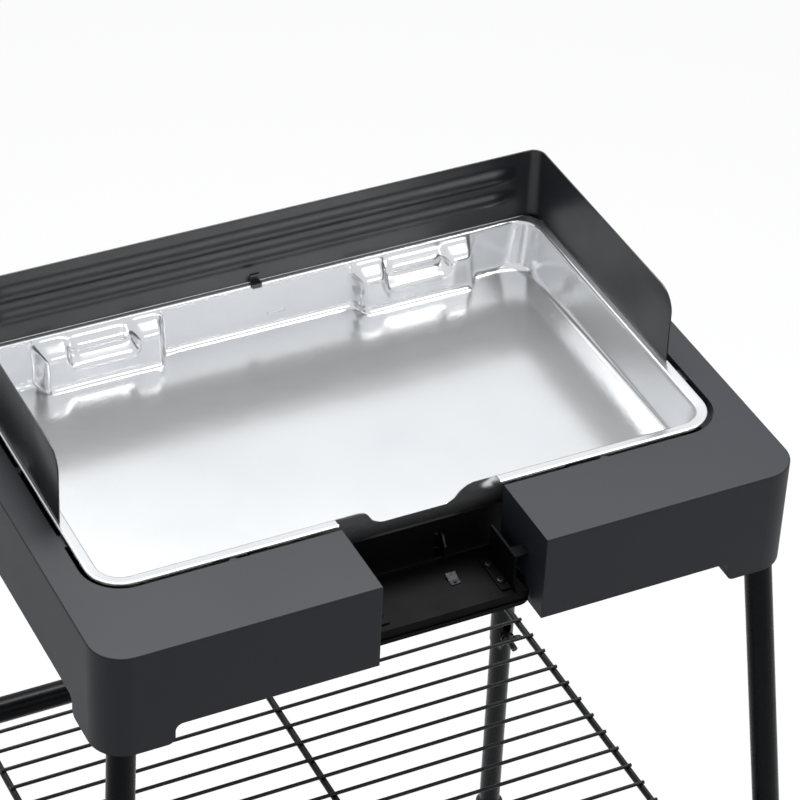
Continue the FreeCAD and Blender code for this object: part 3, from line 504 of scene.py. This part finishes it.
# %% Give the sheet its thickness
def apply_modifier(piece, kind, name, **settings):
    """Adds a modifier with its settings and applies it at once."""
    start_clean()
    bpy.context.view_layer.objects.active = piece
    piece.select_set(True)
    modifier = piece.modifiers.new(name, kind)
    for key, value in settings.items():
        setattr(modifier, key, value)
    bpy.ops.object.modifier_apply(modifier=name)


apply_modifier(tray, "SOLIDIFY", "sheet", thickness=tray_sheet, offset=-1)
print("tray faces:", len(tray.data.polygons))

# %% [markdown]
# ## The opening for the heater's stems
# At the control bay the flange is cut away, and the front wall has a shallow dip with
# soft shoulders. Both are cut with simple blocks; the corners of the dip's block are rounded first.

# %% Cut the flange and the dip
start_clean()
bpy.ops.mesh.primitive_cube_add(size=1, location=(0, rim_front - 0.0007, tray_top - 0.0012))
flange_block = bpy.context.object
bpy.ops.transform.resize(value=(0.131, 0.0188, 0.012))
bpy.ops.object.transform_apply(location=True, rotation=True, scale=True)

start_clean()
dip_profile = [(-0.052, 0.006), (-0.052, -0.0006), (-0.041, -0.0006), (-0.031, -0.0175)]
bpy.ops.mesh.primitive_plane_add(size=0.01, location=(0, rim_front, tray_top))
dip_block = bpy.context.object
bpy.ops.object.mode_set(mode="EDIT")
bpy.ops.mesh.delete(type="VERT")
mesh = bmesh.from_edit_mesh(dip_block.data)
line = dip_profile + [(-x, z) for x, z in reversed(dip_profile)]
points = [mesh.verts.new((x, 0, z)) for x, z in line]
mesh.faces.new(points)
bmesh.update_edit_mesh(dip_block.data)
select_where("verts", lambda v: 0.02 < abs(v.co.x) < 0.045)
bpy.ops.mesh.bevel(affect="VERTICES", offset=0.0075, segments=6)
bpy.ops.mesh.select_all(action="SELECT")
bpy.ops.mesh.extrude_region_move(TRANSFORM_OT_translate={"value": (0, 0.024, 0)})
bpy.ops.mesh.select_all(action="SELECT")
bpy.ops.mesh.normals_make_consistent(inside=False)
bpy.ops.object.mode_set(mode="OBJECT")

for block in (flange_block, dip_block):
    apply_modifier(tray, "BOOLEAN", "cut", object=block, operation="DIFFERENCE", solver="EXACT")
    bpy.data.objects.remove(block, do_unlink=True)
tray.data.shade_smooth()
start_clean()
bpy.context.view_layer.objects.active = tray
tray.select_set(True)
bpy.ops.object.shade_smooth_by_angle(angle=math.radians(40))
print("tray cut, faces:", len(tray.data.polygons), "box", [round(v, 4) for v in tray.dimensions])

# %% Set the tray in the frame
tray.data.materials.append(tray_metal)
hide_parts("water_tray")
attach(tray, "tray")

# %% Strike the level line
start_clean()
wall_lean = math.atan2(stack[wall_top + 1][0] - stack[wall_top][0], stack[wall_top][1] - stack[wall_top + 1][1])
mark_height = 0.7655
mark_y = foot_y + (mark_height - wall_foot[1]) * math.tan(wall_lean)
bpy.ops.mesh.primitive_cube_add(size=1, location=(0.0155, mark_y, mark_height))
mark = bpy.context.object
mark.name = "level_line"
bpy.ops.transform.resize(value=(0.0140, 0.0005, 0.0007))
bpy.ops.object.transform_apply(location=True, rotation=True, scale=True)
bpy.ops.object.mode_set(mode="EDIT")
for end_x in (0.0085, 0.0225):
    select_where("faces", lambda f: abs(f.normal.x) > 0.9 and abs(f.calc_center_median().x - end_x) < near)
    bpy.ops.mesh.extrude_region_move(TRANSFORM_OT_translate={"value": (math.copysign(0.0007, end_x - 0.0155), 0, 0)})
    select_where("faces", lambda f: f.normal.z > 0.9 and abs(f.calc_center_median().x - end_x) < 0.0004)
    bpy.ops.mesh.extrude_region_move(TRANSFORM_OT_translate={"value": (0, 0, 0.0018)})
bpy.ops.mesh.select_all(action="SELECT")
bpy.ops.mesh.normals_make_consistent(inside=False)
bpy.ops.transform.rotate(value=wall_lean, orient_axis="X", center_override=(0.0155, mark_y, mark_height))
bpy.ops.object.mode_set(mode="OBJECT")
apply_modifier(mark, "BEVEL", "edges", width=0.00015, segments=2)
lean_shift = max(v.co.y for v in mark.data.vertices if v.co.z > mark_height + 0.001) - mark_y
mark.data.materials.append(steel)
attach(mark, "tray")
print("level line at", round(mark_y, 4), "leans", round(math.degrees(wall_lean), 1), "degrees, top shift", round(lean_shift, 5))

# %% [markdown]
# ## The wind shield
# The wind shield is one painted sheet, bent round the back and both sides of the tray.
# It starts as a fine grid standing at the back. Its two side edges are spun round the
# bends and extruded forward into wings, and the two stiffening ribs are pushed out of
# the sheet with a soft falloff, which gives them the run-out ends of a pressed rib.

# %% Stand up the back of the shield
shield_half, shield_back, shield_front = 0.2494, 0.1690, -0.0505
shield_low, shield_high = 0.7943, 0.8568
shield_bend, shield_sheet = 0.0094, 0.0012
start_clean()
middle = (0, shield_back, (shield_low + shield_high) / 2)
bpy.ops.mesh.primitive_grid_add(x_subdivisions=60, y_subdivisions=42, size=1, location=middle,
                                rotation=(math.pi / 2, 0, 0))
shield = bpy.context.object
shield.name = "ribbed_shield"
bpy.ops.transform.resize(value=(2 * (shield_half - shield_bend), 1, shield_high - shield_low))
bpy.ops.object.transform_apply(location=True, rotation=True, scale=True)
bpy.ops.object.mode_set(mode="EDIT")
print("grid of the back:", len(bmesh.from_edit_mesh(shield.data).faces), "faces")

# %% Bend the sides and pull out the wings
for side in (-1, 1):
    edge_x = side * (shield_half - shield_bend)
    select_where("edges", lambda e: both_ends(e, lambda p: abs(p.x - edge_x) < near))
    bpy.ops.mesh.spin(steps=7, angle=side * math.pi / 2, axis=(0, 0, 1),
                      center=(edge_x, shield_back - shield_bend, 0))
    select_where("edges", lambda e: both_ends(e, lambda p: abs(p.x - side * shield_half) < near))
    length = (shield_back - shield_bend - shield_front) / 4
    for part in range(4):
        bpy.ops.mesh.extrude_region_move(TRANSFORM_OT_translate={"value": (0, -length, 0)})
mesh = bmesh.from_edit_mesh(shield.data)
print("wings reach", round(min(v.co.y for v in mesh.verts), 4), "and", round(max(v.co.x for v in mesh.verts), 4))

# %% Push out the ribs
for height in (0.8168, 0.8383):
    select_where("verts", lambda v: v.co.y > shield_back - near and abs(v.co.x) < 0.222
                 and abs(v.co.z - height) < 0.0009)
    bpy.ops.transform.translate(value=(0, -0.0042, 0), use_proportional_edit=True,
                                proportional_edit_falloff="SMOOTH", proportional_size=0.0080)
print("two ribs pushed out")

# %% Round the free corners of the wings
corner = 0.018
center_y, center_z = shield_front + corner, shield_high - corner
for step in range(1, 8):
    turn = math.radians(90 - 12 * step + 3)
    normal = (0, -math.cos(turn), math.sin(turn))
    point = (0, center_y - corner * math.cos(turn), center_z + corner * math.sin(turn))
    bpy.ops.mesh.select_all(action="SELECT")
    bpy.ops.mesh.bisect(plane_co=point, plane_no=normal, clear_outer=True, use_fill=False)
bpy.ops.mesh.select_all(action="SELECT")
bpy.ops.mesh.normals_make_consistent(inside=False)
mesh = bmesh.from_edit_mesh(shield.data)
mesh.faces.ensure_lookup_table()
back_face = max(mesh.faces, key=lambda face: face.calc_center_median().y)
if back_face.normal.y < 0:
    bpy.ops.mesh.flip_normals()
bpy.ops.object.mode_set(mode="OBJECT")
apply_modifier(shield, "SOLIDIFY", "sheet", thickness=shield_sheet, offset=0)
apply_modifier(shield, "BEVEL", "edges", width=0.0003, segments=2, limit_method="ANGLE",
               angle_limit=math.radians(50))
bpy.ops.object.shade_smooth_by_angle(angle=math.radians(35))
print("shield faces:", len(shield.data.polygons), "box", [round(v, 4) for v in shield.dimensions])

# %% Set the shield in the frame
shield.data.materials.append(sheet_paint)
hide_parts("wind_shield")
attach(shield, "shield")

# %% [markdown]
# ## Screws and nuts
# A turned screw is one cylinder, shaped from its faces: the rim of the head is
# bevelled to a dome, a recess is pressed into its top, and the shank is drawn out of
# its underside. The thread is drawn as rings, each a short step in and a short step
# out. It is made once at each size, and every other one is a copy with its own mesh.

# %% Turn a screw
def turned_screw(name, head_radius, head_height, shank_radius, plain, rings, pitch):
    """A screw standing on its head's seat at the origin, its head upwards."""
    start_clean()
    bpy.ops.mesh.primitive_cylinder_add(vertices=32, radius=head_radius, depth=head_height,
                                        location=(0, 0, head_height / 2))
    screw = bpy.context.object
    screw.name = name
    bpy.ops.object.transform_apply(location=True, rotation=True, scale=True)
    bpy.ops.object.mode_set(mode="EDIT")
    select_where("edges", lambda e: both_ends(e, lambda p: p.z > head_height - near))
    bpy.ops.mesh.bevel(offset=head_height * 0.75, segments=5)
    select_where("faces", lambda f: f.normal.z > 0.9 and f.calc_center_median().z > head_height - near)
    bpy.ops.mesh.inset(thickness=head_radius * 0.1)
    bpy.ops.mesh.extrude_region_move(TRANSFORM_OT_translate={"value": (0, 0, -head_height * 0.4)})
    select_where("faces", lambda f: f.normal.z < -0.9 and abs(f.calc_center_median().z) < near)
    bpy.ops.mesh.inset(thickness=head_radius - shank_radius)
    bpy.ops.mesh.extrude_region_move(TRANSFORM_OT_translate={"value": (0, 0, -plain)})
    for ring in range(rings):
        for scale in (0.86, 1 / 0.86):
            bpy.ops.mesh.extrude_region_move(TRANSFORM_OT_translate={"value": (0, 0, -pitch / 2)})
            bpy.ops.transform.resize(value=(scale, scale, 1), center_override=(0, 0, 0))
    bpy.ops.mesh.select_all(action="SELECT")
    bpy.ops.mesh.normals_make_consistent(inside=False)
    bpy.ops.object.mode_set(mode="OBJECT")
    bpy.ops.object.shade_smooth_by_angle(angle=math.radians(35))
    return screw


def copy_at(pattern, name, place, up, side):
    """A copy with its own mesh, moved to a place and turned to two directions."""
    start_clean()
    piece = pattern.copy()
    piece.data = pattern.data.copy()
    piece.name = name
    bpy.context.collection.objects.link(piece)
    side = (side - up * side.dot(up)).normalized()
    turn = Matrix((side, up.cross(side), up)).transposed().to_4x4()
    piece.matrix_world = Matrix.Translation(place) @ turn
    bpy.context.view_layer.objects.active = piece
    piece.select_set(True)
    bpy.ops.object.transform_apply(location=True, rotation=True, scale=True)
    return piece


def join(pieces, name):
    """Joins several objects into one."""
    start_clean()
    for piece in pieces:
        piece.select_set(True)
    bpy.context.view_layer.objects.active = pieces[0]
    bpy.ops.object.join()
    pieces[0].name = name
    return pieces[0]


def islands(name):
    """The lowest and highest corners of each loose solid of a CAD node."""
    mesh = bmesh.new()
    mesh.from_mesh(nodes[name].data)
    bmesh.ops.remove_doubles(mesh, verts=mesh.verts, dist=2e-6)
    left = set(mesh.verts)
    boxes = []
    while left:
        group, edge = set(), [left.pop()]
        while edge:
            vertex = edge.pop()
            group.add(vertex)
            near_ones = [e.other_vert(vertex) for e in vertex.link_edges]
            edge += [v for v in near_ones if v in left]
            left.difference_update(near_ones)
        low = Vector([min(v.co[i] for v in group) for i in range(3)])
        high = Vector([max(v.co[i] for v in group) for i in range(3)])
        boxes.append((low, high))
    mesh.free()
    return boxes


print("screws in the bay:", len(islands("bay_screws")))

# %% Where the leg bolts sit
leg_x, leg_y, underside = 0.2583, 0.1884, 0.720
splay_side, splay_end = 0.0751, 0.1272
bolt_drop, tube_radius = 0.454, 0.0107


def leg_point(side, end, drop):
    """A point on the axis of one leg, a given drop below the housing."""
    return Vector((side * (leg_x + splay_side * drop), end * (leg_y + splay_end * drop), underside - drop))


def bolt_frame(side, end):
    """The bolt's middle, its inward direction and the direction down the leg."""
    down = (leg_point(side, end, 0.1) - leg_point(side, end, 0)).normalized()
    inward = Vector((0, -end, 0))
    inward = (inward - down * inward.dot(down)).normalized()
    return leg_point(side, end, bolt_drop), inward, down


print("bolt in the rear right leg at", [round(v, 3) for v in bolt_frame(1, 1)[0]])

# %% Leg bolts
pattern = turned_screw("bolt_pattern", 0.0055, 0.0035, 0.0030, 0.0150, 15, 0.0015)
bolts = []
for end in (-1, 1):
    for side in (-1, 1):
        middle, inward, down = bolt_frame(side, end)
        bolts.append(copy_at(pattern, "leg_bolt", middle - inward * tube_radius, -inward, down))
bpy.data.objects.remove(pattern, do_unlink=True)
leg_bolts = join(bolts, "domed_leg_bolts")
leg_bolts.data.materials.append(dark_steel)
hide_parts("leg_bolts")
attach(leg_bolts, "stand")
print("leg bolts done, faces:", len(leg_bolts.data.polygons))

# %% [markdown]
# A wing nut is cast: a round hub, and two ears that flare out of it. The ear starts as
# a block. Its outer face is extruded twice, and a subdivision surface then turns the
# whole into the soft shape of a casting.

# %% Cast a wing nut
start_clean()
bpy.ops.mesh.primitive_cylinder_add(vertices=32, radius=0.005, depth=0.0055, location=(0, 0, 0.00275))
hub = bpy.context.object
bpy.ops.object.transform_apply(location=True, rotation=True, scale=True)
bpy.ops.object.mode_set(mode="EDIT")
select_where("edges", lambda e: both_ends(e, lambda p: p.z > 0.0055 - near))
bpy.ops.mesh.bevel(offset=0.0013, segments=4)
select_where("faces", lambda f: abs(f.normal.z) > 0.9)
bpy.ops.mesh.inset(thickness=0.0006)
bpy.ops.object.mode_set(mode="OBJECT")

ears = []
for side in (-1, 1):
    start_clean()
    bpy.ops.mesh.primitive_cube_add(size=1, location=(side * 0.0056, 0, 0.0027))
    ear = bpy.context.object
    bpy.ops.transform.resize(value=(0.0048, 0.0032, 0.0050))
    bpy.ops.object.transform_apply(location=True, rotation=True, scale=True)
    bpy.ops.object.mode_set(mode="EDIT")
    select_where("faces", lambda f: f.normal.x * side > 0.9)
    bpy.ops.mesh.extrude_region_move(TRANSFORM_OT_translate={"value": (side * 0.0030, 0, 0.0026)})
    bpy.ops.transform.resize(value=(1, 0.75, 1.5), center_override=(side * 0.0110, 0, 0.0053))
    bpy.ops.mesh.extrude_region_move(TRANSFORM_OT_translate={"value": (side * 0.0019, 0, 0.0008)})
    bpy.ops.transform.resize(value=(1, 0.95, 0.72), center_override=(side * 0.0129, 0, 0.0061))
    bpy.ops.object.mode_set(mode="OBJECT")
    apply_modifier(ear, "SUBSURF", "cast", levels=3)
    ears.append(ear)
pattern = join([hub] + ears, "wing_nut_pattern")
bpy.ops.object.shade_smooth_by_angle(angle=math.radians(50))
print("wing nut", [round(v * 1000, 1) for v in pattern.dimensions], "mm")

# %% Set the wing nuts on their bolts
wing_turn = math.radians(8.5)
washer_top = tube_radius + 0.0014
for corner in corners:
    side = 1 if corner.endswith("right") else -1
    end = 1 if corner.startswith("rear") else -1
    middle, inward, down = bolt_frame(side, end)
    across = down.cross(inward)
    across = across * math.cos(wing_turn) + inward.cross(across) * math.sin(wing_turn)
    nut = copy_at(pattern, "cast_wing_nut_" + corner, middle + inward * washer_top, inward, across)
    nut.data.materials.append(dark_steel)
    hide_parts("wing_nut_" + corner)
    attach(nut, "wing_nut_" + corner)
bpy.data.objects.remove(pattern, do_unlink=True)
print("four wing nuts set")

# %% Screws on the bay's floor
boxes = islands("bay_screws")
low, high = boxes[0]
head_radius = (high.x - low.x) / 2
pattern = turned_screw("bay_screw_pattern", head_radius, 0.0018, 0.0015, 0.0008, 3, 0.0006)
screws = []
for low, high in boxes:
    seat = Vector(((low.x + high.x) / 2, (low.y + high.y) / 2, high.z - 0.0018))
    screws.append(copy_at(pattern, "bay_screw", seat, Vector((0, 0, 1)), Vector((1, 0, 0))))
bpy.data.objects.remove(pattern, do_unlink=True)
bay_screws = join(screws, "recessed_bay_screws")
bay_screws.data.materials.append(dark_steel)
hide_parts("bay_screws")
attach(bay_screws, "stand")
print("screws set:", len(boxes))

# %% Screws that are driven from below
for node, length in (("pan_screws", 0.0090), ("socket_screws", 0.0080)):
    pattern = turned_screw(node + "_pattern", 0.0034, 0.0018, 0.0015, 0.0030, int((length - 0.0030) / 0.0008),
                           0.0008)
    screws = []
    for low, high in islands(node):
        seat = Vector(((low.x + high.x) / 2, (low.y + high.y) / 2, low.z + 0.0018))
        screws.append(copy_at(pattern, node + "_copy", seat, Vector((0, 0, -1)), Vector((1, 0, 0))))
    bpy.data.objects.remove(pattern, do_unlink=True)
    piece = join(screws, "recessed_" + node)
    piece.data.materials.append(dark_steel)
    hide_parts(node)
    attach(piece, "stand")
    print(node, "set:", len(screws))

# %% Plugs in the ends of the cross tubes
pattern = turned_screw("plug_pattern", 0.01085, 0.0025, 0.0095, 0.0030, 2, 0.0018)
plugs = []
for low, high in islands("tube_plugs"):
    side = 1 if low.x > 0 else -1
    seat = Vector((high.x - 0.0025 if side > 0 else low.x + 0.0025, (low.y + high.y) / 2, (low.z + high.z) / 2))
    plugs.append(copy_at(pattern, "plug", seat, Vector((side, 0, 0)), Vector((0, 0, 1))))
bpy.data.objects.remove(pattern, do_unlink=True)
tube_plugs = join(plugs, "domed_tube_plugs")
tube_plugs.data.materials.append(cap_plastic)
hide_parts("tube_plugs")
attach(tube_plugs, "stand")
print("plugs set:", len(plugs))

# %% Fold along the foot of the bay's back wall
floor_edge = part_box("bay_floor")[1][1]
floor_top = 0.7320
start_clean()
bpy.ops.mesh.primitive_cube_add(size=1, location=(0, floor_edge - 0.0008, floor_top + 0.00045))
fold = bpy.context.object
fold.name = "bay_back_fold"
bpy.ops.transform.resize(value=(0.126, 0.0020, 0.0009))
bpy.ops.object.transform_apply(location=True, rotation=True, scale=True)
apply_modifier(fold, "BEVEL", "edges", width=0.0003, segments=3)
bpy.ops.object.shade_smooth_by_angle(angle=math.radians(35))
# The fold takes the darkened copy of the sheet paint, whose extra darkness is painted shade.
fold.data.materials.append(shade_darkened_sheet_paint)
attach(fold, "stand")
print("fold along the floor's edge at", round(floor_edge, 4))

# %% Bolts and nuts of the cross tubes
start_clean()
bpy.ops.mesh.primitive_cylinder_add(vertices=6, radius=0.0058, depth=0.0050, location=(0, 0, 0.0025),
                                    rotation=(0, 0, math.pi / 2))
hexagon = bpy.context.object
bpy.ops.object.transform_apply(location=True, rotation=True, scale=True)
apply_modifier(hexagon, "BEVEL", "chamfer", width=0.0005, segments=2)
bpy.ops.object.shade_smooth_by_angle(angle=math.radians(30))
hex_nuts, cross_screws = [], []
for low, high in islands("cross_nuts"):
    end = 1 if low.y > 0 else -1
    seat = Vector(((low.x + high.x) / 2, high.y if end > 0 else low.y, (low.z + high.z) / 2))
    hex_nuts.append(copy_at(hexagon, "cross_nut", seat, Vector((0, -end, 0)), Vector((1, 0, 0))))
bpy.data.objects.remove(hexagon, do_unlink=True)
low, high = islands("cross_bolts")[0]
length = high.y - low.y - 0.0035
rings = int((length - 0.0340) / 0.0014)
pattern = turned_screw("cross_bolt_pattern", 0.0055, 0.0035, 0.0030, length - rings * 0.0014, rings, 0.0014)
for low, high in islands("cross_bolts"):
    end = 1 if low.y > 0 else -1
    seat = Vector(((low.x + high.x) / 2, high.y - 0.0035 if end > 0 else low.y + 0.0035, (low.z + high.z) / 2))
    cross_screws.append(copy_at(pattern, "cross_bolt", seat, Vector((0, end, 0)), Vector((1, 0, 0))))
bpy.data.objects.remove(pattern, do_unlink=True)
for piece, node in ((join(hex_nuts, "chamfered_cross_nuts"), "cross_nuts"),
                    (join(cross_screws, "domed_cross_bolts"), "cross_bolts")):
    piece.data.materials.append(dark_steel)
    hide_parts(node)
    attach(piece, "stand")
print("cross tube fasteners done, bolt length", round(length, 4), "rings", rings)

# %% [markdown]
# ## Foot caps
# Each foot cap is a moulded sleeve round the end of the leg, with grip ribs round it
# and a flat sole on the floor. Its rings are extruded upwards along the leg, so they
# lean with it.

# %% Mould a foot cap
def foot_cap(side, end):
    """A cap of rings along one leg, from the floor to its upper edge."""
    start_clean()
    bpy.ops.mesh.primitive_circle_add(vertices=40, radius=0.01295, fill_type="NGON", location=(0, 0, 0))
    cap = bpy.context.object
    sole = leg_point(side, end, underside)
    bpy.ops.object.mode_set(mode="EDIT")
    bpy.ops.transform.translate(value=sole)
    lean = Vector((-side * splay_side, -end * splay_end, 1))
    rise = 0.0
    for step, scale in ((0.0010, 1.004), (0.0012, 1.0), (0.0004, 0.965), (0.0008, 1.0), (0.0004, 1 / 0.965),
                        (0.0012, 1.0), (0.0004, 0.965), (0.0008, 1.0), (0.0004, 1 / 0.965), (0.0012, 1.0),
                        (0.0004, 0.965), (0.0008, 1.0), (0.0004, 1 / 0.965), (0.0016, 1.0), (0.0006, 0.95),
                        (0.0003, 0.90)):
        rise += step
        bpy.ops.mesh.extrude_region_move(TRANSFORM_OT_translate={"value": lean * step})
        bpy.ops.transform.resize(value=(scale, scale, 1), center_override=sole + lean * rise)
    bpy.ops.mesh.select_all(action="SELECT")
    bpy.ops.mesh.normals_make_consistent(inside=False)
    bpy.ops.object.mode_set(mode="OBJECT")
    bpy.ops.object.transform_apply(location=True, rotation=True, scale=True)
    bpy.ops.object.shade_smooth_by_angle(angle=math.radians(35))
    return cap


for corner in corners:
    side = 1 if corner.endswith("right") else -1
    end = 1 if corner.startswith("rear") else -1
    cap = foot_cap(side, end)
    cap.name = "ribbed_foot_cap_" + corner
    cap.data.materials.append(cap_plastic)
    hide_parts("foot_cap_" + corner)
    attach(cap, "stand")
print("four foot caps moulded")
